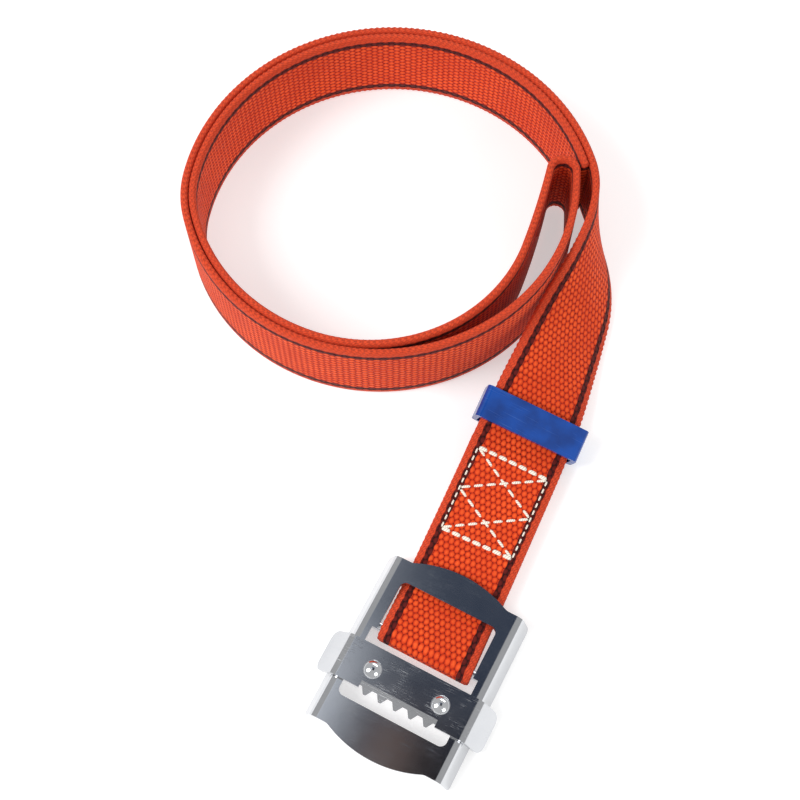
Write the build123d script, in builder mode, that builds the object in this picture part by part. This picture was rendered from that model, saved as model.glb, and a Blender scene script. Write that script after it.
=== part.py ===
"""Leg strap with a toothed slide buckle, the strap that holds a climbing spur to the leg.

One length of woven webbing is folded and sewn round the buckle's crossbar.  It runs through a
keeper, twists from flat to upright and is coiled with its doubled end standing on edge.
Millimetres, +Z up.  While the pieces are made, the flat part of the strap lies along the Y axis;
the buckle's own pieces are drawn about the buckle's middle and then put at an angle on the strap.
At the end everything is moved so that the origin is the middle of the base.
"""
import os
from math import acos, asin, atan, atan2, ceil, cos, degrees, hypot, radians, sin

from build123d import *

# ---------------------------------------------------------------- driving dimensions
# webbing
WEBBING_WIDTH = 30.0
WEBBING_THICK = 2.3
LAYER_GAP = 0.3          # air between the two turns of the coil

# place of the buckle: its middle, and the angle at which it hangs on the webbing
BUCKLE_X, BUCKLE_Y = -0.3, -1.1
BUCKLE_YAW = -2.8

# fold round the crossbar, sewn down with a box stitch; lengths along the strap
CROSSBAR_Y = 5.75        # from the buckle's middle
CROSSBAR_RADIUS = 1.5
CROSSBAR_FIT = 0.05
EYE_END = 26.0           # where the flat eye ends
FOLD_END = 71.5          # where the folded end is cut
FOLD_MEET = 14.6         # from the crossbar to where the two plies meet
FOLD_BEND = 15.0
STITCH_WIDTH = WEBBING_WIDTH - 6.6
STITCH_LENGTH = 27.4
STITCH_MIDDLE = 54.1
ROW_PITCH, ROW_THREAD = 3.2, 1.2        # rows across the webbing, sewn twice
SIDE_PITCH, SIDE_THREAD = 2.5, 0.5      # along the edges
CROSS_PITCH, CROSS_THREAD = 3.7, 0.8    # crosses inside the box
THREAD_HEIGHT = 0.4
THREAD_CLEAR = 0.03
THREAD_FILL = 0.7        # share of each pitch that is thread on the surface

# coil, as turns of the webbing's middle line
COIL_START = 123.5       # where the strap leaves its straight line
COIL_SHIFT = -1.0        # and how far it has wandered to the side by then
FAR_RADIUS, FAR_SWEEP = 65.8, 195.0
LEFT_RADIUS, LEFT_SWEEP = 35.3, 23.2
NEAR_RADIUS, NEAR_SWEEP = 62.3, 160.5
RIGHT_RADIUS, RIGHT_SWEEP = 110.0, 4.0
FOLD_BACK_RADIUS, FOLD_BACK_SWEEP = 4.2, 168.0
RETURN_RADIUS = 260.0    # first, almost straight, run of the inner turn
RETURN_CURVE = 51.4      # curve that brings it against the outer turn
LOOSE_END = 38.0         # degrees of the far turn where the loose end is cut

# twist, as lengths along the strap from the buckle's middle
TWIST_START = 20.0
TWIST_TURN = 148.0       # length in which the webbing turns from flat to upright
TWIST_EASE = 3.3         # how late the twist comes
TWIST_SLACK = 10.0       # degrees it then hangs back between the keeper and the coil
LEVEL_END = 84.0         # the lower edge is level to here
SETTLE = 34.0            # and comes down to the base in this length
KEEPER_RUN_END = 94.0    # where the span through the keeper ends
SPAN_STEP = 6.5          # longest gap between the sections of a twisted span

# pressed-steel frame
FRAME_THICK = 1.5
FRAME_LENGTH = 53.2
RAIL_START = WEBBING_WIDTH / 2 + 3.9        # half-width of the flat plate
RAIL_BEND = 2.0
RAIL_LEAN = 18.0         # of the flange from upright
RAIL_CORNER = 1.5
TOP_BAR_RISE = 3.5
LOWER_BAR_RISE = 3.5
BAR_SHOULDER = WEBBING_WIDTH / 2 + 0.6
SHOULDER_RADIUS = 3.0
WINDOW_HALF_WIDTH = WEBBING_WIDTH / 2 + 0.7
WINDOW_TOP = 20.4
STEP_Y = 4.2             # where the opening widens below the crossbar
SLOT_HALF_WIDTH = WEBBING_WIDTH / 2 + 2.3
SLOT_BOTTOM = -17.6
WINDOW_CORNER = 2.0

# sliding toothed plate
SLIDER_THICK = 1.5
SLIDER_TOP = -0.7
SLIDER_BOTTOM = -13.65
SLIDER_GAP = 0.3
WING_START = WEBBING_WIDTH / 2 + 4.7
WING_BEND = 2.2
WING_LEAN = 36.0
WING_FOOT = 1.4          # height of the wing's middle line at its tip
WING_CORNER = 3.0
TOOTH_COUNT = 5
TOOTH_PITCH = 4.9
TOOTH_DEPTH = 2.0
TOOTH_LINE = -12.2       # where the toothed edge bends down
TOOTH_REACH = 14.9       # plan distance of the tips from the buckle's middle
TOOTH_DIP = 8.0
RIVET_SPACING = 22.0
RIVET_Y = -7.3
RIVET_SHANK = 1.3
RIVET_HEAD = 2.8
RIVET_DOME = 1.5
RIVET_TAIL = 2.2
RIVET_TAIL_HEIGHT = 0.8
BACKING_THICK = 1.2
BACKING_DEPTH = 5.6
BACKING_HALF_WIDTH = WEBBING_WIDTH / 2 + 3.9

# keeper loop
KEEPER_LENGTH = 10.4
KEEPER_Y = 81.4
KEEPER_FLOOR = 1.2
KEEPER_SIDE = 1.6
KEEPER_ROOF = 1.5
KEEPER_SIDE_ROOM = 0.6
KEEPER_ROOM = 1.4        # spare height round two plies
KEEPER_LAG = 2.0         # degrees it leans less than the webbing in it
KEEPER_CORNER = 1.6
KEEPER_INNER_CORNER = 0.6

# ---------------------------------------------------------------- sizes that follow
PITCH = WEBBING_THICK + LAYER_GAP
PLY_BASE = KEEPER_FLOOR + 0.2
CROSSBAR_Z = PLY_BASE + WEBBING_THICK + CROSSBAR_FIT + CROSSBAR_RADIUS
PLATE_BASE = CROSSBAR_Z + CROSSBAR_RADIUS
PLATE_TOP = PLATE_BASE + FRAME_THICK
SLIDER_BASE = PLATE_TOP + SLIDER_GAP
LOWER_PLY = PLY_BASE + WEBBING_THICK / 2
UPPER_PLY = LOWER_PLY + WEBBING_THICK
TWIST_END = TWIST_START + TWIST_TURN
BUCKLE = Location((BUCKLE_X, BUCKLE_Y, 0), (0, 0, BUCKLE_YAW))


# ---------------------------------------------------------------- webbing, eye
def make_eye():
    """Flat eye: lower ply, round the crossbar, and back as the upper ply.

    The crossbar lies askew, so the eye is drawn square to it and trimmed to the webbing's edges.
    """
    centre = (CROSSBAR_Y, CROSSBAR_Z)
    reach = CROSSBAR_RADIUS + CROSSBAR_FIT + WEBBING_THICK / 2
    meet = (CROSSBAR_Y + FOLD_MEET, UPPER_PLY)
    across = hypot(meet[0] - centre[0], meet[1] - centre[1])
    top_angle = degrees(atan2(meet[1] - centre[1], meet[0] - centre[0]) + acos(reach / across))
    leave = (centre[0] + reach * cos(radians(top_angle)), centre[1] + reach * sin(radians(top_angle)))
    far_end = EYE_END + WEBBING_WIDTH / 2
    with BuildPart() as eye:
        with BuildSketch(Plane.YZ):
            with BuildLine() as upper:
                FilletPolyline((far_end, UPPER_PLY), meet, leave, radius=FOLD_BEND)
            trace(upper.line, WEBBING_THICK)
            with BuildLine() as lower:
                CenterArc(centre, reach, top_angle, 270 - top_angle)
                Line((CROSSBAR_Y, LOWER_PLY), (far_end, LOWER_PLY))
            trace(lower.line, WEBBING_THICK)
        extrude(amount=WEBBING_WIDTH, both=True)
        with BuildSketch(Plane(BUCKLE.inverse())):
            with Locations((0, EYE_END - WEBBING_WIDTH)):
                Rectangle(WEBBING_WIDTH, 2 * WEBBING_WIDTH)
        extrude(amount=WEBBING_WIDTH, mode=Mode.INTERSECT)
    return eye.part.moved(BUCKLE)


# ---------------------------------------------------------------- webbing, twisted spans
def station(length):
    """Plan point and heading in degrees at a length along the strap, measured from y = 0."""
    if length <= COIL_START:
        share = max(0.0, (length - LEVEL_END) / (COIL_START - LEVEL_END))
        drift = 6 * share * (1 - share) / (COIL_START - LEVEL_END)
        return COIL_SHIFT * share**2 * (3 - 2 * share), length, 90.0 - degrees(atan(COIL_SHIFT * drift))
    turn = (length - COIL_START) / FAR_RADIUS
    return (
        COIL_SHIFT + FAR_RADIUS * (cos(turn) - 1),
        COIL_START + FAR_RADIUS * sin(turn),
        90.0 + degrees(turn),
    )


def lean(length):
    """Degrees the webbing is turned from flat: none at the buckle, upright at the coil."""
    share = min(1.0, max(0.0, (length - TWIST_START) / TWIST_TURN))
    late = min(1.0, max(0.0, (length - KEEPER_RUN_END) / (TWIST_END - KEEPER_RUN_END)))
    slack = TWIST_SLACK * sin(radians(180 * late)) ** 2
    return 90.0 * share**TWIST_EASE * (1 + TWIST_EASE * (1 - share)) - slack


def low_edge(length):
    """Height of the upper ply's lowest edge: level as far as the keeper, then down to the base."""
    share = min(1.0, max(0.0, (length - LEVEL_END) / SETTLE))
    return (PLY_BASE + WEBBING_THICK) * (1 - share) ** 2 * (1 + 2 * share)


def strap_plane(length):
    """Section plane at the middle of the upper ply: x to the right, y out of the upper face."""
    x, y, heading = station(length)
    angle = radians(lean(length))
    half_height = WEBBING_WIDTH / 2 * sin(angle) + WEBBING_THICK / 2 * cos(angle)
    forward = Vector(cos(radians(heading)), sin(radians(heading)), 0)
    left = Vector(-sin(radians(heading)), cos(radians(heading)), 0)
    across = left * cos(angle) + Vector(0, 0, 1) * sin(angle)
    origin = (x, y, low_edge(length) + half_height)
    return Plane(origin=origin, x_dir=-across, z_dir=-forward)


def make_span(start, end, plies=1):
    """Webbing from one length to another; the lower ply, if there is one, lies under the upper."""
    steps = ceil((end - start) / SPAN_STEP)
    with BuildPart() as span:
        for step in range(steps + 1):
            with BuildSketch(strap_plane(start + (end - start) * step / steps)):
                with Locations((0, -(plies - 1) * WEBBING_THICK / 2)):
                    Rectangle(WEBBING_WIDTH, plies * WEBBING_THICK)
        loft()
    return span.part


# ---------------------------------------------------------------- webbing, coil
def circles_meet(one, one_radius, two, two_radius):
    """The meeting point of two circles that lies to the right of the line from one to two."""
    gap = two - one
    along = (one_radius**2 - two_radius**2 + gap.length**2) / (2 * gap.length)
    aside = (one_radius**2 - along**2) ** 0.5
    ahead = gap.normalized()
    return one + ahead * along + Vector(ahead.Y, -ahead.X, 0) * aside


def turn_after(before, radius, sweep):
    """Arc that carries on from an edge; a negative sweep turns right."""
    return JernArc(before @ 1, before % 1, radius, sweep)


def right_centre(edge, radius):
    """Centre of a right-hand turn that carries on from an edge."""
    end, ahead = edge @ 1, edge % 1
    return end + Vector(ahead.Y, -ahead.X, 0) * radius


def bearing(centre, point):
    return degrees(atan2(point.Y - centre.Y, point.X - centre.X))


def coil_lines():
    """Middle line of every upright stretch, as named arcs at half the webbing's height."""
    half = WEBBING_WIDTH / 2
    x, y, heading = station(TWIST_END)
    ahead = (cos(radians(heading)), sin(radians(heading)), 0)
    with BuildLine(mode=Mode.PRIVATE):
        far = JernArc((x, y, half), ahead, FAR_RADIUS, FAR_SWEEP - heading + 90)
        left = turn_after(far, LEFT_RADIUS, LEFT_SWEEP)
        near = turn_after(left, NEAR_RADIUS, NEAR_SWEEP)
        right = turn_after(near, RIGHT_RADIUS, RIGHT_SWEEP)
        back = turn_after(right, FOLD_BACK_RADIUS, FOLD_BACK_SWEEP)
        # the return run and its curve end tangent to the inner side of the near turn
        far_centre, left_centre, near_centre = (e.arc_center for e in (far, left, near))
        run_centre = right_centre(back, RETURN_RADIUS)
        curve_centre = circles_meet(
            run_centre, RETURN_RADIUS - RETURN_CURVE, near_centre, NEAR_RADIUS - PITCH - RETURN_CURVE
        )
        run_sweep = (bearing(run_centre, back @ 1) - bearing(run_centre, curve_centre)) % 360
        run = turn_after(back, RETURN_RADIUS, -run_sweep)
        touch = bearing(near_centre, curve_centre)
        curve_sweep = (bearing(curve_centre, run @ 1) - touch) % 360
        curve = turn_after(run, RETURN_CURVE, -curve_sweep)
        near_in_sweep = (touch - bearing(near_centre, near @ 0)) % 360
        near_in = turn_after(curve, NEAR_RADIUS - PITCH, -near_in_sweep)
        left_in = turn_after(near_in, LEFT_RADIUS - PITCH, -LEFT_SWEEP)
        far_in = turn_after(left_in, FAR_RADIUS - PITCH, LOOSE_END - FAR_SWEEP)
    return {
        "webbing_outer_far": far,
        "webbing_outer_left": left,
        "webbing_outer_near": near,
        "webbing_outer_right": right,
        "webbing_fold_back": back,
        "webbing_return_run": run,
        "webbing_return_curve": curve,
        "webbing_inner_near": near_in,
        "webbing_inner_left": left_in,
        "webbing_inner_far": far_in,
    }


def make_upright(line):
    """Webbing standing on its edge along a middle line."""
    with BuildPart() as upright:
        with BuildSketch(Plane(origin=line @ 0, x_dir=(0, 0, 1), z_dir=line % 0)):
            Rectangle(WEBBING_WIDTH, WEBBING_THICK)
        sweep(path=line)
    return upright.part


# ---------------------------------------------------------------- stitching
def seams():
    """Seams as start, end, pitch and thread width: a box, and two crosses one above the other."""
    x = STITCH_WIDTH / 2
    middle = STITCH_MIDDLE
    low, high = middle - STITCH_LENGTH / 2, middle + STITCH_LENGTH / 2
    rows = [((-x, low), (x, low)), ((-x, high), (x, high))]
    sides = [((-x, low), (-x, high)), ((x, low), (x, high))]
    crosses = []
    for bottom, top in ((low, middle), (middle, high)):
        crosses += [((-x, bottom), (x, top)), ((-x, top), (x, bottom))]
    return (
        [(*seam, ROW_PITCH, ROW_THREAD) for seam in rows]
        + [(*seam, SIDE_PITCH, SIDE_THREAD) for seam in sides]
        + [(*seam, CROSS_PITCH, CROSS_THREAD) for seam in crosses]
    )


def face_point(across, length):
    """Point just above the upper face."""
    face = strap_plane(length)
    return face.origin + face.x_dir * across + face.y_dir * (WEBBING_THICK / 2 + THREAD_CLEAR)


def stitch_plane(across, length, run_across, run_along):
    """Plane on the upper face, x along the seam; it follows the face where the webbing twists."""
    right = strap_plane(length).x_dir
    ahead = (face_point(across, length + 1) - face_point(across, length - 1)).normalized()
    seam = right * run_across + ahead * run_along
    return Plane(origin=face_point(across, length), x_dir=seam, z_dir=right.cross(ahead))


def make_stitching():
    """Threads of the box stitch lying on the upper ply, one short pill for each stitch."""
    with BuildPart() as thread:
        for start, end, pitch, width in seams():
            run_across, run_along = end[0] - start[0], end[1] - start[1]
            run = hypot(run_across, run_along)
            count = round(run / pitch)
            for k in range(count):
                share = (k + 0.5) / count
                place = (start[0] + run_across * share, start[1] + run_along * share)
                with BuildSketch(stitch_plane(*place, run_across, run_along)):
                    SlotOverall(run / count * THREAD_FILL, width)
                extrude(amount=THREAD_HEIGHT)
    return thread.part


# ---------------------------------------------------------------- buckle frame
def bent_side(start, height, bend, lean, foot, thickness):
    """Sketch of a sheet that runs out level, bends down and leans outwards to a foot height."""
    turn = 90 - lean
    end = (start + bend * sin(radians(turn)), height - bend * (1 - cos(radians(turn))))
    drop = end[1] - foot
    run = drop * sin(radians(lean)) / cos(radians(lean))
    with BuildLine() as side:
        Line((0, height), (start, height))
        JernArc((start, height), (1, 0), bend, -turn)
        Line(end, (end[0] + run, foot))
    return trace(side.line, thickness)


def make_frame():
    """Pressed plate with an arched bar at each end, one stepped opening and two flanged rails."""
    height = PLATE_BASE + FRAME_THICK / 2
    with BuildPart() as frame:
        with BuildSketch(Plane.XZ):
            bent_side(RAIL_START, height, RAIL_BEND, RAIL_LEAN, -FRAME_THICK, FRAME_THICK)
            mirror(about=Plane.YZ)
        extrude(amount=FRAME_LENGTH / 2, both=True)
        split(bisect_by=Plane.XY, keep=Keep.TOP)
        fillet(frame.edges().filter_by(Axis.X).group_by(Axis.Z)[0], RAIL_CORNER)
        with BuildSketch(Plane.XY.offset(PLATE_BASE)) as bars:
            for side, rise in ((1, TOP_BAR_RISE), (-1, LOWER_BAR_RISE)):
                base = side * FRAME_LENGTH / 2
                with BuildLine():
                    ThreePointArc((-BAR_SHOULDER, base), (0, base + side * rise), (BAR_SHOULDER, base))
                    Polyline(
                        (BAR_SHOULDER, base), (BAR_SHOULDER, 0), (-BAR_SHOULDER, 0), (-BAR_SHOULDER, base)
                    )
                make_face()
        extrude(amount=FRAME_THICK)
        with BuildSketch(Plane.XY.offset(PLATE_BASE)):
            with Locations((0, (STEP_Y + WINDOW_TOP) / 2)):
                Rectangle(2 * WINDOW_HALF_WIDTH, WINDOW_TOP - STEP_Y)
            with Locations((0, (STEP_Y + SLOT_BOTTOM) / 2)):
                Rectangle(2 * SLOT_HALF_WIDTH, STEP_Y - SLOT_BOTTOM)
            corners = [v for v in vertices() if abs(v.Y - STEP_Y) > 1]
            fillet(corners, WINDOW_CORNER)
        extrude(amount=FRAME_THICK, mode=Mode.SUBTRACT)
        shoulders = frame.edges().filter_by(Axis.Z).filter_by(
            lambda e: abs(abs(e.center().X) - BAR_SHOULDER) < 0.1 and abs(e.center().Y) > WINDOW_TOP + 2
        )
        fillet(shoulders, SHOULDER_RADIUS)
    return frame.part


def make_crossbar():
    """Round bar across the frame's opening, drawn up against the shoulders under the side plates."""
    flange_x = RAIL_START + RAIL_BEND * sin(radians(90 - RAIL_LEAN)) - FRAME_THICK / 2
    half = flange_x - 0.4
    with BuildPart() as bar:
        with BuildSketch(Plane.YZ.offset(-half)):
            with Locations((CROSSBAR_Y, CROSSBAR_Z)):
                Circle(CROSSBAR_RADIUS)
        extrude(amount=2 * half)
        chamfer(bar.edges().filter_by(GeomType.CIRCLE), 0.3)
    return bar.part


# ---------------------------------------------------------------- slider
def make_slider():
    """Plate over the rails with a bent wing each side and a comb of teeth bent into the slot."""
    height = SLIDER_BASE + SLIDER_THICK / 2
    comb = TOOTH_COUNT * TOOTH_PITCH / 2
    dip = radians(TOOTH_DIP)
    reach = (TOOTH_REACH + TOOTH_LINE) / cos(dip)
    with BuildPart() as slider:
        with BuildSketch(Plane.XZ.offset(-SLIDER_TOP)):
            bent_side(WING_START, height, WING_BEND, WING_LEAN, WING_FOOT, SLIDER_THICK)
            mirror(about=Plane.YZ)
        extrude(amount=SLIDER_TOP - SLIDER_BOTTOM)
        tips = slider.edges().filter_by(
            lambda e: abs(e.length - SLIDER_THICK) < 0.01 and abs(e.center().X) > WING_START + 4
        )
        fillet(tips, WING_CORNER)
        with BuildSketch(Plane.XY.offset(SLIDER_BASE)):
            with Locations((0, (TOOTH_LINE + SLIDER_BOTTOM) / 2)):
                Rectangle(2 * comb, TOOTH_LINE - SLIDER_BOTTOM)
        extrude(amount=SLIDER_THICK, mode=Mode.SUBTRACT)
        slope = Plane(
            origin=(0, TOOTH_LINE, SLIDER_BASE + SLIDER_THICK),
            x_dir=(1, 0, 0),
            z_dir=(0, -sin(dip), cos(dip)),
        )
        with BuildSketch(slope):
            with BuildLine():
                Polyline(*tooth_outline(comb, reach), close=True)
            make_face()
        extrude(amount=-SLIDER_THICK)
        with BuildSketch(Plane.XY.offset(SLIDER_BASE)):
            with Locations((-RIVET_SPACING / 2, RIVET_Y), (RIVET_SPACING / 2, RIVET_Y)):
                Circle(RIVET_SHANK)
        extrude(amount=SLIDER_THICK, mode=Mode.SUBTRACT)
    return slider.part


def tooth_outline(half_width, reach):
    """Comb outline, down the slope as -y: a short root, then one tooth after another."""
    root = TOOTH_DEPTH - reach
    points = [(-half_width, SLIDER_THICK / 2), (-half_width, root)]
    for k in range(TOOTH_COUNT):
        left = -half_width + k * TOOTH_PITCH
        points += [
            (left + 0.16 * TOOTH_PITCH, root),
            (left + 0.42 * TOOTH_PITCH, -reach),
            (left + 0.58 * TOOTH_PITCH, -reach),
            (left + 0.84 * TOOTH_PITCH, root),
        ]
    return points + [(half_width, root), (half_width, SLIDER_THICK / 2)]


def backing_top():
    return PLATE_BASE - SLIDER_GAP


def make_backing():
    """Strip under the side plates that the rivets tie to the slider, so it can't lift off."""
    with BuildPart() as strip:
        with BuildSketch(Plane.XY.offset(backing_top())):
            with Locations((0, RIVET_Y)):
                RectangleRounded(2 * BACKING_HALF_WIDTH, BACKING_DEPTH, 1.0)
            with Locations((-RIVET_SPACING / 2, RIVET_Y), (RIVET_SPACING / 2, RIVET_Y)):
                Circle(RIVET_SHANK, mode=Mode.SUBTRACT)
        extrude(amount=-BACKING_THICK)
    return strip.part


def make_rivets():
    """Two domed rivets through the slider, the frame's opening and the backing strip."""
    top = SLIDER_BASE + SLIDER_THICK
    foot = backing_top() - BACKING_THICK
    dome = (RIVET_HEAD**2 + RIVET_DOME**2) / (2 * RIVET_DOME)
    spread = degrees(asin(RIVET_HEAD / dome))
    with BuildPart() as rivets:
        for side in (-1, 1):
            axis_x = side * RIVET_SPACING / 2
            with BuildSketch(Plane.XZ.offset(-RIVET_Y)):
                with BuildLine():
                    CenterArc((axis_x, top + RIVET_DOME - dome), dome, 90 - spread, spread)
                    Polyline(
                        (axis_x, top + RIVET_DOME),
                        (axis_x, foot - RIVET_TAIL_HEIGHT),
                        (axis_x + RIVET_TAIL, foot - RIVET_TAIL_HEIGHT),
                        (axis_x + RIVET_TAIL, foot),
                        (axis_x + RIVET_SHANK, foot),
                        (axis_x + RIVET_SHANK, top),
                        (axis_x + RIVET_HEAD, top),
                    )
                make_face()
            revolve(axis=Axis((axis_x, RIVET_Y, 0), (0, 0, 1)))
    return rivets.part


# ---------------------------------------------------------------- keeper
def keeper_plane():
    """Section plane of the keeper: it follows the rise of the webbing, and leans a little less."""
    middle = strap_plane(KEEPER_Y)
    rise = strap_plane(KEEPER_Y + KEEPER_LENGTH / 2).origin - strap_plane(KEEPER_Y - KEEPER_LENGTH / 2).origin
    angle = radians(lean(KEEPER_Y) - KEEPER_LAG)
    return Plane(origin=middle.origin, x_dir=(cos(angle), 0, -sin(angle)), z_dir=-rise)


def make_keeper():
    """Moulded loop, tall enough for two plies, that leans with the webbing it is on."""
    inner_width = WEBBING_WIDTH + 2 * KEEPER_SIDE_ROOM
    outer_width = inner_width + 2 * KEEPER_SIDE
    room = 2 * WEBBING_THICK + KEEPER_ROOM
    shift = (KEEPER_ROOF - KEEPER_FLOOR) / 2
    with BuildPart() as keeper:
        with BuildSketch(keeper_plane()):
            with Locations((0, shift)):
                RectangleRounded(outer_width, room + KEEPER_ROOF + KEEPER_FLOOR, KEEPER_CORNER)
            RectangleRounded(inner_width, room, KEEPER_INNER_CORNER, mode=Mode.SUBTRACT)
        extrude(amount=KEEPER_LENGTH / 2, both=True)
    return keeper.part


# ---------------------------------------------------------------- assembly
lines = coil_lines()
pieces = {
    "webbing_eye": make_eye(),
    "webbing_sewn_plies": make_span(EYE_END, FOLD_END, plies=2),
    "webbing_keeper_run": make_span(FOLD_END, KEEPER_RUN_END),
    "webbing_twist": make_span(KEEPER_RUN_END, TWIST_END),
}
pieces.update({name: make_upright(line) for name, line in lines.items()})
pieces.update({"box_stitching": make_stitching(), "keeper_loop": make_keeper()})
buckle = {
    "buckle_frame": make_frame(),
    "crossbar_pin": make_crossbar(),
    "toothed_slider": make_slider(),
    "slider_backing_strip": make_backing(),
    "slider_rivets": make_rivets(),
}
pieces.update({name: piece.moved(BUCKLE) for name, piece in buckle.items()})

box = Compound(list(pieces.values())).bounding_box()
MOVE = Vector(-(box.min.X + box.max.X) / 2, -(box.min.Y + box.max.Y) / 2, -box.min.Z)

os.makedirs("parts", exist_ok=True)
for name, piece in pieces.items():
    placed = piece.moved(Location(MOVE))
    placed.label = name
    export_step(placed, f"parts/{name}.step")

if __name__ == "__main__":
    length = FOLD_END + TWIST_END - 2 * CROSSBAR_Y + sum(line.length for line in lines.values())
    print(f"crossbar middle at {(BUCKLE * Location((0, CROSSBAR_Y, CROSSBAR_Z))).position + MOVE}")
    print(f"loose end at {lines['webbing_inner_far'] @ 1 + MOVE}, {lines['webbing_inner_far'] % 1}")
    print(f"size {box.size.X:.1f} x {box.size.Y:.1f} x {box.size.Z:.1f} mm, moved by {MOVE}")
    print(f"webbing about {length:.0f} mm long")
    print(f"keeper middle at {keeper_plane().origin + MOVE}, slides along {-keeper_plane().z_dir}")
    for name, line in lines.items():
        print(f"{name}: radius {line.radius:.1f}, length {line.length:.1f}")
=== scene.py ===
"""Leg strap with a toothed slide buckle: webbing, thread, plated steel and the keeper's plastic."""
from math import acos, atan, atan2, ceil, cos, exp, hypot, pi, radians, sin, tan

import bpy
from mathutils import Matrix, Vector


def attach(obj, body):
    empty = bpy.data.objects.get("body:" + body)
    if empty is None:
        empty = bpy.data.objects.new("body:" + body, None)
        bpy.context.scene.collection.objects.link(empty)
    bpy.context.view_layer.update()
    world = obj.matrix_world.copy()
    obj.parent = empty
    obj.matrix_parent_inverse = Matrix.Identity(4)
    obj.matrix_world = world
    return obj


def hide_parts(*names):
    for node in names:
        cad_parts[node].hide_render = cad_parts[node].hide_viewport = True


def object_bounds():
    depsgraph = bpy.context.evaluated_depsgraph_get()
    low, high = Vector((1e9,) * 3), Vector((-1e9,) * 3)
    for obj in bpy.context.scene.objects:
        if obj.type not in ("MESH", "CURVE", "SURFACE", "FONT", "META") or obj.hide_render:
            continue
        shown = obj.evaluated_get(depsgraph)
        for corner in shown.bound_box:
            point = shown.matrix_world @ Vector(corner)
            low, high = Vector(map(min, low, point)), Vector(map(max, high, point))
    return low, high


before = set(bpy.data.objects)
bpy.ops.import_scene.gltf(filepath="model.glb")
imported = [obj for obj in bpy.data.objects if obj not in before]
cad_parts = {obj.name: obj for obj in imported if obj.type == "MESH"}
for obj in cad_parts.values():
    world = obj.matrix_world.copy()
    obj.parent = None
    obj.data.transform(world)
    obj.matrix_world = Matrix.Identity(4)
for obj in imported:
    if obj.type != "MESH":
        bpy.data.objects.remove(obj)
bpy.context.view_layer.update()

MM = 0.001
# where the strap's own starting point lies, millimetres
HOME = Vector((53.5448, -79.6212, 0.0105))

# ---------------------------------------------------------------- the strap's sizes, millimetres
WIDTH, THICK = 30.0, 2.3
EDGE_DEPTH = 1.0         # how far in from the edge the webbing starts to round off
RING_STEP = 0.36         # distance between the rings of the webbing's mesh
PICK = 1.9               # distance between rows of grains along the webbing
END = 0.875              # half the distance between grains across it
BUCKLE_X, BUCKLE_Y, BUCKLE_YAW = -0.3, -1.1, radians(-2.8)
CROSSBAR_Y, CROSSBAR_Z, CROSSBAR_REACH = 5.75, 5.25, 2.7
LOWER_PLY, UPPER_PLY = 2.55, 4.85
FOLD_MEET, FOLD_BEND = 14.6, 15.0
EYE_END, FOLD_END, KEEPER_RUN_END = 26.0, 71.5, 94.0
TWIST_START, TWIST_END, TWIST_EASE, TWIST_SLACK = 20.0, 168.0, 3.3, radians(10)
LEVEL_END, SETTLE, PLY_TOP = 84.0, 34.0, 3.7
COIL_START, COIL_SHIFT, FAR_RADIUS = 123.5, -1.0, 65.8
COIL = (
    ("outer_far", 65.8, 156.25),
    ("outer_left", 35.3, 23.2),
    ("outer_near", 62.3, 160.5),
    ("outer_right", 110.0, 4.0),
    ("fold_back", 4.2, 168.0),
    ("return_run", 260.0, -6.5),
    ("return_curve", 51.4, -88.3),
    ("inner_near", 59.7, -57.8),
    ("inner_left", 32.7, -23.2),
    ("inner_far", 63.2, -157.0),
)
STITCH_WIDTH, STITCH_LENGTH, STITCH_MIDDLE = 23.4, 27.4, 54.1


# ---------------------------------------------------------------- shader sums
class Dye:
    """A socket in a finish's node tree, so that sums can be written as sums."""

    def __init__(self, tree, socket):
        self.tree, self.socket = tree, socket

    def node(self, kind, settings=None, output=0, **inputs):
        """Any node: settings first, then its inputs by name or by number (in0, in1)."""
        made = self.tree.nodes.new(kind)
        for key, value in (settings or {}).items():
            setattr(made, key, value)
        for key, value in inputs.items():
            index = int(key[2:]) if key[:2] == "in" and key[2:].isdigit() else key.replace("_", " ")
            slot = made.inputs[index]
            if isinstance(value, Dye):
                self.tree.links.new(value.socket, slot)
            else:
                slot.default_value = value
        return Dye(self.tree, made.outputs[output])

    def sum(self, operation, *others):
        values = {f"in{i}": v for i, v in enumerate((self, *others))}
        return self.node("ShaderNodeMath", {"operation": operation}, **values)

    def __add__(self, other):
        return self.sum("ADD", other)

    def __radd__(self, other):
        return self.sum("ADD", other)

    def __sub__(self, other):
        return self.sum("SUBTRACT", other)

    def __rsub__(self, other):
        return self.node("ShaderNodeMath", {"operation": "SUBTRACT"}, in0=other, in1=self)

    def __mul__(self, other):
        return self.sum("MULTIPLY", other)

    def __rmul__(self, other):
        return self.sum("MULTIPLY", other)

    def __truediv__(self, other):
        return self.sum("DIVIDE", other)

    def __pow__(self, other):
        return self.sum("POWER", other)

    def __abs__(self):
        return self.sum("ABSOLUTE")

    def least(self, other):
        return self.sum("MINIMUM", other)

    def most(self, other):
        return self.sum("MAXIMUM", other)

    def zigzag(self, size):
        return self.sum("PINGPONG", size)

    def wave(self):
        return self.sum("SINE")

    def root(self):
        return self.sum("SQRT")

    def step(self, low, high):
        """0 below low, 1 above high and smooth between them; high may be the smaller."""
        smooth = {"interpolation_type": "SMOOTHSTEP"}
        return self.node("ShaderNodeMapRange", smooth, in0=self, in1=low, in2=high, in3=0.0, in4=1.0)

    def blend(self, below, above):
        """Colour that goes from below to above as this goes from 0 to 1."""
        return self.node("ShaderNodeMix", {"data_type": "RGBA"}, output=2, in0=self, in6=below, in7=above)

    def sideways_parts(self):
        """The first two numbers of a place."""
        first = self.node("ShaderNodeSeparateXYZ", Vector=self)
        return first, Dye(self.tree, first.socket.node.outputs[1])


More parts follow.
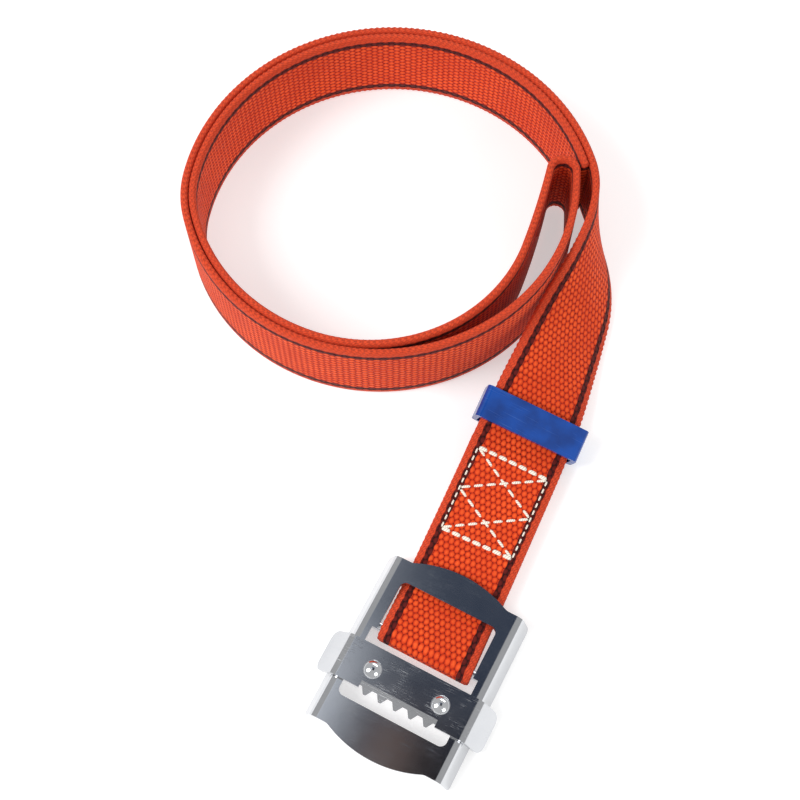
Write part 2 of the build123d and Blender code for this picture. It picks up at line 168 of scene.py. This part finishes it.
def shade(red, green, blue):
    """Colour from everyday 0 to 255 values."""
    def linear(value):
        return ((value / 255 + 0.055) / 1.055) ** 2.4 if value > 10 else value / 3295

    return (linear(red), linear(green), linear(blue), 1.0)


def dimmed(colour, share):
    return tuple(value * share for value in colour) + (1.0,)


def new_finish(name, **constants):
    """An empty finish: the material, its first node and a Dye to start sums from."""
    finish = bpy.data.materials.new(name)
    finish.use_nodes = True
    surface = finish.node_tree.nodes["Principled BSDF"]
    for key, value in constants.items():
        surface.inputs[key.replace("_", " ")].default_value = value
    return finish, surface, Dye(finish.node_tree, None)


def feed(finish, surface, **dyes):
    for key, dye in dyes.items():
        finish.node_tree.links.new(dye.socket, surface.inputs[key.replace("_", " ")])


def rough_noise(dye, place, scale, detail=2.0, roughness=0.5):
    return dye.node("ShaderNodeTexNoise", Vector=place, Scale=scale, Detail=detail, Roughness=roughness)


def stretched(dye, place, turn, scale):
    """The place turned about the upright axis and stretched, for brushed lines and scratches."""
    return dye.node("ShaderNodeMapping", Vector=place, Rotation=(0.0, 0.0, turn), Scale=scale)


# ---------------------------------------------------------------- finishes
def webbing_finish():
    """Orange woven webbing: rounded grains in a brick pattern, dark tracer lines, finer selvages."""
    finish, surface, start = new_finish("orange_webbing", Sheen_Weight=0.03, Sheen_Roughness=0.5, IOR=1.3)
    place = start.node("ShaderNodeUVMap", {"uv_map": "weave"})
    drift = rough_noise(start, place, 0.55, 2.0)
    wander = rough_noise(start, place, 1.7, 1.0)
    along_raw, across_raw = place.sideways_parts()
    along = along_raw + (drift - 0.5) * 0.9
    across = across_raw + (wander - 0.5) * 0.35
    far_out = abs(across_raw)

    # body: grains 1.75 mm apart, each row half a step aside of the last
    a, b = across.zigzag(END), along.zigzag(PICK)
    row = (a / 0.93) ** 2 + (b / 1.17) ** 2
    next_row = ((END - a) / 0.93) ** 2 + ((PICK - b) / 1.17) ** 2
    grain = (1.0 - row.least(next_row)).most(0.0).root()

    # selvage: finer grains that lean
    lean_along = along + across * 0.9
    c, d = across.zigzag(0.55), lean_along.zigzag(0.95)
    fine = (c / 0.6) ** 2 + (d / 0.66) ** 2
    next_fine = ((0.55 - c) / 0.6) ** 2 + ((0.95 - d) / 0.66) ** 2
    edge_grain = (1.0 - fine.least(next_fine)).most(0.0).root()

    selvage = far_out.step(12.7, 12.95)
    height = grain * (1.0 - selvage) + edge_grain * selvage * 0.75

    # tracer: two columns of dark yarn with zigzag sides
    zig = along.zigzag(PICK) * 0.16
    tracer = (far_out + zig).step(10.95, 11.15) * (far_out - zig).step(12.75, 12.5)

    lines = (along * 2.2 + across * 21.0).wave() * 0.5 + 0.5
    yarn = lines * 0.35 + rough_noise(start, place, 7.0, 3.0) * 0.65
    patch = rough_noise(start, place, 0.09, 3.0).step(0.35, 0.65)
    # painted shade and highlight: the colour follows the grain height, so the grooves between grains get a
    # dark red-brown painted shade and the grain tops a paler orange painted highlight; the dark tracer yarn is
    # shaded the same way
    lit = (height * 0.85 + yarn * 0.25 - 0.06).most(0.0).least(1.0)
    groove_shade = lit.step(0.12, 0.7).blend(shade(120, 12, 2), shade(214, 58, 12))
    body = lit.step(0.6, 1.0).blend(groove_shade, shade(244, 96, 36))
    dusty = (patch * 0.3).blend(body, shade(190, 42, 8))
    side = (selvage * 0.3).blend(dusty, shade(224, 96, 66))
    dark = lit.step(0.2, 1.0).blend(shade(22, 1, 3), shade(84, 8, 10))
    colour = (tracer * 0.96).blend(side, dark)

    bump = start.node("ShaderNodeBump", Strength=1.0, Distance=0.00034, Height=height + yarn * 0.14)
    feed(finish, surface, Base_Color=colour, Roughness=0.9 - lit * 0.22, Normal=bump)
    return finish


def thread_finish():
    """Cream sewing thread with its plies wound round it."""
    finish, surface, start = new_finish("cream_thread", Sheen_Weight=0.2, IOR=1.4)
    place = start.node("ShaderNodeUVMap", {"uv_map": "weave"})
    along, around = place.sideways_parts()
    ply = abs((along * 3.6 + around * 2.4).wave())
    hair = rough_noise(start, place, 5.0, 3.0)
    lit = ply * 0.7 + hair * 0.4
    # painted shade and highlight: darker cream between the plies, near white on their crowns
    colour = lit.step(0.15, 0.75).blend(shade(196, 172, 146), shade(250, 243, 230))
    bump = start.node("ShaderNodeBump", Strength=0.8, Distance=0.00015, Height=lit)
    feed(finish, surface, Base_Color=colour, Roughness=0.85 - hair * 0.2, Normal=bump)
    return finish


def steel_finish(name, bright, rough, turn, hatch, hatch_turn=0.0, spots=0.15):
    """Plated steel: faint clouding, fine lines one way, and hatched scratches where it has rubbed."""
    finish, surface, start = new_finish(name, Metallic=1.0)
    place = start.node("ShaderNodeTexCoord", output=3)
    cloud = rough_noise(start, place, 110.0, 3.0)
    lines = rough_noise(start, stretched(start, place, turn, (60.0, 2600.0, 60.0)), 1.0, 3.0, 0.6)
    one_way = stretched(start, place, hatch_turn + 0.55, (160.0, 5200.0, 160.0))
    other_way = stretched(start, place, hatch_turn - 0.7, (190.0, 4600.0, 190.0))
    first = rough_noise(start, one_way, 1.0, 2.0, 0.7)
    second = rough_noise(start, other_way, 1.0, 2.0, 0.7)
    rubbed = rough_noise(start, place, 150.0, 2.0).step(0.42, 0.66)
    cut = (first.step(0.56, 0.74) + second.step(0.58, 0.76)).least(1.0) * rubbed
    grime = rough_noise(start, place, 900.0, 4.0, 0.7).step(0.62, 0.8) * spots
    dull, polished = dimmed((0.76, 0.78, 0.82), bright), dimmed((0.93, 0.94, 0.96), bright)
    clean = (cloud * 0.6 + lines * 0.25).blend(dull, polished)
    colour = grime.blend(clean, (0.30, 0.25, 0.21, 1.0))
    bump = start.node(
        "ShaderNodeBump", Strength=0.22, Distance=0.00004, Height=lines * 0.12 - cut * hatch * 0.5 + cloud
    )
    feed(
        finish, surface, Base_Color=colour, Normal=bump,
        Roughness=(cloud * 0.06 + lines * 0.03 + cut * hatch * 0.34 + grime * 0.4 + (rough - 0.05)).most(0.04),
    )
    return finish


def keeper_finish():
    """Glossy blue moulded plastic with handling marks."""
    finish, surface, start = new_finish("blue_keeper_plastic", IOR=1.5, Specular_IOR_Level=0.6)
    place = start.node("ShaderNodeTexCoord", output=3)
    cloud = rough_noise(start, place, 120.0, 3.0)
    lengthways = stretched(start, place, 0.2, (70.0, 1500.0, 70.0))
    sideways = stretched(start, place, 1.5, (90.0, 1900.0, 90.0))
    marks = rough_noise(start, lengthways, 1.0, 2.0, 0.6).step(0.6, 0.74)
    cross = rough_noise(start, sideways, 1.0, 2.0, 0.6).step(0.63, 0.76)
    worn = (marks + cross * 0.7).least(1.0)
    grit = rough_noise(start, place, 1500.0, 2.0)
    base = cloud.step(0.3, 0.7).blend(shade(2, 50, 122), shade(5, 70, 158))
    colour = (worn * 0.14).blend(base, shade(60, 110, 190))
    bump = start.node(
        "ShaderNodeBump", Strength=0.5, Distance=0.00008, Height=cloud - worn * 0.35 + grit * 0.12
    )
    feed(finish, surface, Base_Color=colour, Normal=bump, Roughness=cloud * 0.12 + worn * 0.2 + 0.16)
    return finish


# ---------------------------------------------------------------- the strap's route
def station(length):
    """Plan point and heading at a length along the strap."""
    if length <= COIL_START:
        share = max(0.0, (length - LEVEL_END) / (COIL_START - LEVEL_END))
        drift = 6 * share * (1 - share) / (COIL_START - LEVEL_END)
        return COIL_SHIFT * share**2 * (3 - 2 * share), length, pi / 2 - atan(COIL_SHIFT * drift)
    turn = (length - COIL_START) / FAR_RADIUS
    x = COIL_SHIFT + FAR_RADIUS * (cos(turn) - 1)
    return x, COIL_START + FAR_RADIUS * sin(turn), pi / 2 + turn


def section(length):
    """Middle of the upper ply, its direction across and its direction out of the upper face."""
    x, y, heading = station(length)
    share = min(1.0, max(0.0, (length - TWIST_START) / (TWIST_END - TWIST_START)))
    late = min(1.0, max(0.0, (length - KEEPER_RUN_END) / (TWIST_END - KEEPER_RUN_END)))
    turn = pi / 2 * share**TWIST_EASE * (1 + TWIST_EASE * (1 - share)) - TWIST_SLACK * sin(pi * late) ** 2
    drop = min(1.0, max(0.0, (length - LEVEL_END) / SETTLE))
    low = PLY_TOP * (1 - drop) ** 2 * (1 + 2 * drop)
    ahead = Vector((cos(heading), sin(heading), 0))
    across = Vector((-sin(heading) * cos(turn), cos(heading) * cos(turn), sin(turn)))
    middle = Vector((x, y, low + WIDTH / 2 * sin(turn) + THICK / 2 * cos(turn)))
    return middle, across, ahead.cross(across)


def stretch(start, end, below=0.0):
    """Rings of one flat or twisting stretch; below moves it down a ply."""
    count = ceil((end - start) / RING_STEP)
    rings = []
    for k in range(count + 1):
        length = start + (end - start) * k / count
        middle, across, out = section(length)
        rings.append((length, middle - out * below, across, out))
    return rings


def coil_stretches():
    """Rings of every upright stretch, one list for each arc."""
    x, y, heading = station(TWIST_END)
    length = TWIST_END
    stretches = {}
    for name, radius, sweep in COIL:
        sweep = radians(sweep)
        side = 1 if sweep > 0 else -1
        hub = Vector((x - side * radius * sin(heading), y + side * radius * cos(heading), 0))
        count = ceil(abs(sweep) * radius / (RING_STEP if radius > 10 else RING_STEP / 2))
        rings = []
        for k in range(count + 1):
            now = heading + sweep * k / count
            out = Vector((sin(now), -cos(now), 0))
            middle = hub + out * radius * side + Vector((0, 0, WIDTH / 2))
            rings.append((length + abs(sweep) * radius * k / count, middle, Vector((0, 0, 1)), out))
        x, y = rings[-1][1][:2]
        heading += sweep
        length = rings[-1][0]
        stretches[name] = rings
    return stretches


def eye_rings():
    """Rings of the eye: in along the lower ply, round the crossbar and back as the upper ply."""
    meet_y = CROSSBAR_Y + FOLD_MEET
    gap = hypot(FOLD_MEET, UPPER_PLY - CROSSBAR_Z)
    top = atan2(UPPER_PLY - CROSSBAR_Z, FOLD_MEET) + acos(CROSSBAR_REACH / gap)
    slope = pi / 2 - top
    reach = FOLD_BEND * tan(slope / 2)
    leave = (CROSSBAR_Y + CROSSBAR_REACH * cos(top), CROSSBAR_Z + CROSSBAR_REACH * sin(top))
    bend = (meet_y - reach * cos(slope), UPPER_PLY + reach * sin(slope))
    run = hypot(bend[0] - leave[0], bend[1] - leave[1])
    end = EYE_END - BUCKLE_Y
    pieces = [
        (end - CROSSBAR_Y, lambda t: (end + (CROSSBAR_Y - end) * t, LOWER_PLY, 0.0, -1.0)),
        (
            CROSSBAR_REACH * (3 * pi / 2 - top),
            lambda t: (
                CROSSBAR_Y + CROSSBAR_REACH * cos(3 * pi / 2 + (top - 3 * pi / 2) * t),
                CROSSBAR_Z + CROSSBAR_REACH * sin(3 * pi / 2 + (top - 3 * pi / 2) * t),
                cos(3 * pi / 2 + (top - 3 * pi / 2) * t),
                sin(3 * pi / 2 + (top - 3 * pi / 2) * t),
            ),
        ),
        (
            run,
            lambda t: (
                leave[0] + (bend[0] - leave[0]) * t,
                leave[1] + (bend[1] - leave[1]) * t,
                sin(slope),
                cos(slope),
            ),
        ),
        (
            FOLD_BEND * slope,
            lambda t: (
                meet_y + reach - FOLD_BEND * sin(slope * (1 - t)),
                UPPER_PLY + FOLD_BEND - FOLD_BEND * cos(slope * (1 - t)),
                sin(slope * (1 - t)),
                cos(slope * (1 - t)),
            ),
        ),
        (end - meet_y - reach, lambda t: (meet_y + reach + (end - meet_y - reach) * t, UPPER_PLY, 0.0, 1.0)),
    ]
    total = sum(piece[0] for piece in pieces)
    length = EYE_END - total
    rings = []
    for size, place in pieces:
        count = max(2, ceil(size / (RING_STEP if size > 12 else 0.2)))
        for k in range(0 if not rings else 1, count + 1):
            rings.append((length + size * k / count, *place(k / count)))
        length += size
    return rings


def buckle_to_strap(across, along, height, turned):
    """A point of the eye: along is measured square to the crossbar, across is the strap's own."""
    square = (-BUCKLE_X + along * sin(BUCKLE_YAW)) / cos(BUCKLE_YAW)
    y = BUCKLE_Y + square * sin(BUCKLE_YAW) + along * cos(BUCKLE_YAW)
    return Vector((-across, y - across * tan(BUCKLE_YAW) * turned, height))


# ---------------------------------------------------------------- meshes
def webbing_outline():
    """Points round the webbing: across, up, place across for the weave, and edge angle or none."""
    flat = WIDTH / 2 - EDGE_DEPTH
    columns = [flat * k / 4 for k in range(-4, 5)]
    angles = [75 - 15 * k for k in range(11)]
    points = [(w, THICK / 2, w, None) for w in columns]
    for angle in angles:
        turn = radians(angle)
        round_off = flat + (90 - abs(angle)) / 90 * 1.5
        points.append((flat + EDGE_DEPTH * cos(turn), THICK / 2 * sin(turn), round_off, angle))
    points += [(w, -THICK / 2, w, None) for w in reversed(columns)]
    for angle in reversed(angles):
        turn = radians(angle)
        round_off = -flat - (90 - abs(angle)) / 90 * 1.5
        points.append((-flat - EDGE_DEPTH * cos(turn), THICK / 2 * sin(turn), round_off, angle))
    return points


OUTLINE = webbing_outline()


def edge_swell(length, angle):
    """How far the edge yarns stand in or out: two rows of bumps, one half a step behind the other."""
    if angle is None:
        return 0.0
    rows = 0.0
    for middle, lag in ((38, 0.0), (-38, pi)):
        rows += (0.5 + 0.5 * cos(2 * pi * length / PICK + lag)) * exp(-(((angle - middle) / 30) ** 2))
    return -0.2 + 0.3 * rows


def webbing_rows(rings):
    """Points of the webbing's mesh in millimetres, a list for each ring."""
    rows = []
    for length, middle, across, out in rings:
        row = []
        for w, h, _, angle in OUTLINE:
            swell = edge_swell(length, angle)
            reach = 1 if w > 0 else -1
            aside = swell * cos(radians(angle)) * reach if angle is not None else 0.0
            rise = swell * sin(radians(angle)) if angle is not None else 0.0
            row.append(middle + across * (w + aside) + out * (h + rise))
        rows.append(row)
    return rows


def eye_rows(rings):
    rows = []
    for length, along, height, out_y, out_z in rings:
        share = min(1.0, max(0.0, (along - 11) / 12))
        turned = 1 - share * share * (3 - 2 * share)
        row = []
        for w, h, _, angle in OUTLINE:
            swell = edge_swell(length, angle)
            reach = 1 if w > 0 else -1
            aside = swell * cos(radians(angle)) * reach if angle is not None else 0.0
            rise = h + (swell * sin(radians(angle)) if angle is not None else 0.0)
            row.append(buckle_to_strap(w + aside, along + rise * out_y, height + rise * out_z, turned))
        rows.append(row)
    return rows


def build_tube(verts, faces, places, rows, lengths, across):
    """Adds one closed tube to the lists; across gives each outline point's place for the weave."""
    first, size = len(verts), len(rows[0])
    for row in rows:
        verts += [(p + HOME) * MM for p in row]
    for r in range(len(rows) - 1):
        for k in range(size):
            n = (k + 1) % size
            corners = ((r, k), (r + 1, k), (r + 1, n), (r, n))
            faces.append([first + a * size + b for a, b in corners])
            places.append([(lengths[a], across[b]) for a, b in corners])
    for r, order in ((0, range(size)), (len(rows) - 1, range(size - 1, -1, -1))):
        faces.append([first + r * size + k for k in order])
        places.append([(lengths[r], across[k]) for k in order])


def finish_mesh(name, verts, faces, places, material):
    mesh = bpy.data.meshes.new(name)
    mesh.from_pydata(verts, [], faces)
    weave = mesh.uv_layers.new(name="weave")
    flat = [value for corners in places for place in corners for value in place]
    weave.data.foreach_set("uv", flat)
    mesh.materials.append(material)
    mesh.polygons.foreach_set("use_smooth", [True] * len(mesh.polygons))
    mesh.validate()
    mesh.update()
    piece = bpy.data.objects.new(name, mesh)
    bpy.context.scene.collection.objects.link(piece)
    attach(piece, "strap")
    return piece


def webbing_piece(name, node, tubes, material):
    """One piece of webbing: its tubes of (lengths, rows), standing for a node or several."""
    verts, faces, places = [], [], []
    across = [point[2] for point in OUTLINE]
    flat = 0.0
    for lengths, rows in tubes:
        build_tube(verts, faces, places, rows, lengths, across)
        flat += lengths[-1] - lengths[0]
    piece = finish_mesh(name, verts, faces, places, material)
    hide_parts(*([node] if isinstance(node, str) else node))
    flat * MM
    return piece


def tube_of(rings):
    return [ring[0] for ring in rings], webbing_rows(rings)


def make_webbing(material):
    eye = eye_rings()
    webbing_piece("eye", "webbing_eye", [([ring[0] for ring in eye], eye_rows(eye))], material)
    plies = [tube_of(stretch(EYE_END, FOLD_END, below)) for below in (0.0, THICK)]
    webbing_piece("sewn_plies", "webbing_sewn_plies", plies, material)
    webbing_piece("keeper_run", "webbing_keeper_run", [tube_of(stretch(FOLD_END, KEEPER_RUN_END))], material)
    webbing_piece("twist", "webbing_twist", [tube_of(stretch(KEEPER_RUN_END, TWIST_END))], material)
    stretches = coil_stretches()
    bend = [tube_of(stretches.pop("outer_right")), tube_of(stretches.pop("fold_back"))]
    webbing_piece("fold_back", ("webbing_outer_right", "webbing_fold_back"), bend, material)
    for name, rings in stretches.items():
        webbing_piece(name, "webbing_" + name, [tube_of(rings)], material)


def seams():
    """Seams as start, end, number of stitches, thread width and length share, height."""
    x = STITCH_WIDTH / 2
    low, high = STITCH_MIDDLE - STITCH_LENGTH / 2, STITCH_MIDDLE + STITCH_LENGTH / 2
    made = [((-x, y), (x, y), 7, 1.3, 0.86, 0.62) for y in (low, high)]
    made += [((side, low), (side, high), 11, 0.55, 0.7, 0.3) for side in (-x, x)]
    for bottom, top in ((low, STITCH_MIDDLE), (STITCH_MIDDLE, high)):
        made += [((-x, bottom), (x, top), 7, 0.85, 0.78, 0.42), ((-x, top), (x, bottom), 7, 0.85, 0.78, 0.42)]
    return made


def face_point(right, length):
    middle, across, out = section(length)
    return middle - across * right + out * THICK / 2


def stitch_rows(right, length, run, half, width, height):
    """One stitch: rises from its hole, lies across the grains and dives into the next."""
    _, across, out = section(length)
    here = face_point(right, length)
    ahead = (face_point(right, length + 1) - face_point(right, length - 1)).normalized()
    seam = (-across * run[0] + ahead * run[1]).normalized()
    side = out.cross(seam).normalized()
    rows = []
    for k in range(11):
        t = -1 + k / 5
        plump = max(0.06, 1 - t**4) ** 0.5
        rise = height * 0.42 - height * 0.75 * t**4
        row = []
        for turn in [2 * pi * n / 12 for n in range(12)]:
            row.append(
                here + seam * (t * half) + side * (width / 2 * plump * cos(turn))
                + out * (rise + height * 0.52 * plump * sin(turn))
            )
        rows.append(row)
    return rows


def make_stitching(material):
    verts, faces, places = [], [], []
    around = [0.25 * n for n in range(12)]
    for number, (start, end, count, width, share, height) in enumerate(seams()):
        run = (end[0] - start[0], end[1] - start[1])
        size = hypot(*run) / count
        for k in range(count):
            at = (k + 0.5) / count
            wander = 0.09 * sin(12.9 * k + 4.1 * number)
            right = start[0] + run[0] * at + wander
            along = start[1] + run[1] * at - wander
            rows = stitch_rows(right, along, run, size * share / 2, width, height)
            lengths = [size * (k + n / 10) for n in range(11)]
            build_tube(verts, faces, places, rows, lengths, around)
    piece = finish_mesh("box_seam", verts, faces, places, material)
    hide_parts("box_stitching")
    return piece


# ---------------------------------------------------------------- room, light and camera
def panel(name, corners, colour, glow):
    """A flat stage panel from four corners; returns it with its material's first node and a Dye."""
    mesh = bpy.data.meshes.new(name)
    mesh.from_pydata(corners, [], [(0, 1, 2, 3)])
    coat, surface, start = new_finish(name, Base_Color=colour, Roughness=0.9, Specular_IOR_Level=0.0)
    surface.inputs["Emission Color"].default_value = colour
    surface.inputs["Emission Strength"].default_value = glow
    mesh.materials.append(coat)
    made = bpy.data.objects.new(name, mesh)
    bpy.context.scene.collection.objects.link(made)
    return made, surface, start


def soft_light(name, place, aim, size, power, colour=(1, 1, 1)):
    lamp = bpy.data.lights.new(name, "AREA")
    lamp.shape, lamp.size, lamp.size_y = "RECTANGLE", size[0], size[1]
    lamp.energy, lamp.color = power, colour
    made = bpy.data.objects.new(name, lamp)
    made.location = place
    made.rotation_mode = "QUATERNION"
    made.rotation_quaternion = (Vector(aim) - Vector(place)).to_track_quat("-Z", "Y")
    bpy.context.scene.collection.objects.link(made)
    return made


def set_room():
    """Pale floor, white surroundings, and a shaded card overhead for the steel to reflect."""
    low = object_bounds()[0].z - 0.0002
    panel("floor", [(-4, -4, low), (4, -4, low), (4, 4, low), (-4, 4, low)], (0.68, 0.68, 0.68, 1), 0.7)
    left, right, front, back, above = -0.16, 0.2, -0.14, 0.2, 0.62
    corners = [(left, front, above), (right, front, above), (right, back, above), (left, back, above)]
    card, surface, start = panel("shaded_card", corners, (0, 0, 0, 1), 1.0)
    # painted reflections: the card glows in pale, warm brown, black and dark blue zones, set where the plated
    # steel below will mirror them
    place = start.node("ShaderNodeTexCoord", output=3)
    x, y = place.sideways_parts()
    near = y.step(0.004, -0.008)
    far = y.step(0.03, 0.06)
    dark = far.blend((0.035, 0.045, 0.07, 1), (0.05, 0.065, 0.10, 1))
    warm = (x.step(-0.012, 0.006) * x.step(0.03, 0.026) * near).blend(dark, (0.20, 0.135, 0.11, 1))
    black = (x.step(0.026, 0.03) * near).blend(warm, (0.006, 0.007, 0.01, 1))
    pale = (x.step(-0.018, -0.042) * (1.0 - far * 0.75)).blend(black, (0.8, 0.84, 0.9, 1))
    start.tree.links.new(pale.socket, surface.inputs["Emission Color"])
    card.visible_shadow = False
    card.visible_diffuse = False
    world = bpy.data.worlds.new("surroundings")
    world.use_nodes = True
    world.node_tree.nodes["Background"].inputs["Color"].default_value = (1, 1, 1, 1)
    world.node_tree.nodes["Background"].inputs["Strength"].default_value = 0.5
    bpy.context.scene.world = world
    bpy.context.scene.view_settings.view_transform = "Standard"
    soft_light("left_window", (-0.7, -0.5, 0.9), (0.0, 0, 0), (0.5, 0.7), 11)
    soft_light("right_fill", (0.9, -0.5, 0.6), (0.02, 0, 0), (0.5, 0.5), 4)
    soft_light("back_strip", (0.1, 1.0, 0.7), (0, 0, 0), (1.0, 0.3), 3)


def set_camera():
    middle = Vector((0.053566, -0.079575, 0))
    place = middle + Vector((0.0306, -0.0802, 0.4213))
    aim = middle + Vector((-0.0415, 0.0752, 0))
    data = bpy.data.cameras.new("camera")
    data.lens, data.sensor_width = 64.35, 36
    camera = bpy.data.objects.new("camera", data)
    camera.location = place
    camera.rotation_mode = "QUATERNION"
    camera.rotation_quaternion = (aim - place).to_track_quat("-Z", "Y")
    bpy.context.scene.collection.objects.link(camera)
    bpy.context.scene.camera = camera


def dress(node, material):
    """Gives a carried-over node its finish."""
    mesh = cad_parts[node].data
    mesh.materials.clear()
    mesh.materials.append(material)


set_camera()
set_room()
make_webbing(webbing_finish())
make_stitching(thread_finish())
dress("buckle_frame", steel_finish("plated_frame_steel", 0.74, 0.13, 0.05, 0.25))
dress("crossbar_pin", steel_finish("drawn_pin_steel", 0.9, 0.2, 1.5, 0.1))
dress("toothed_slider", steel_finish("rubbed_slider_steel", 0.72, 0.15, 0.05, 1.0, -0.05))
dress("slider_backing_strip", steel_finish("backing_strip_steel", 0.8, 0.24, 0.0, 0.3))
dress("slider_rivets", steel_finish("rivet_steel", 0.95, 0.12, 0.8, 0.35, 0.4, 0.3))
dress("keeper_loop", keeper_finish())
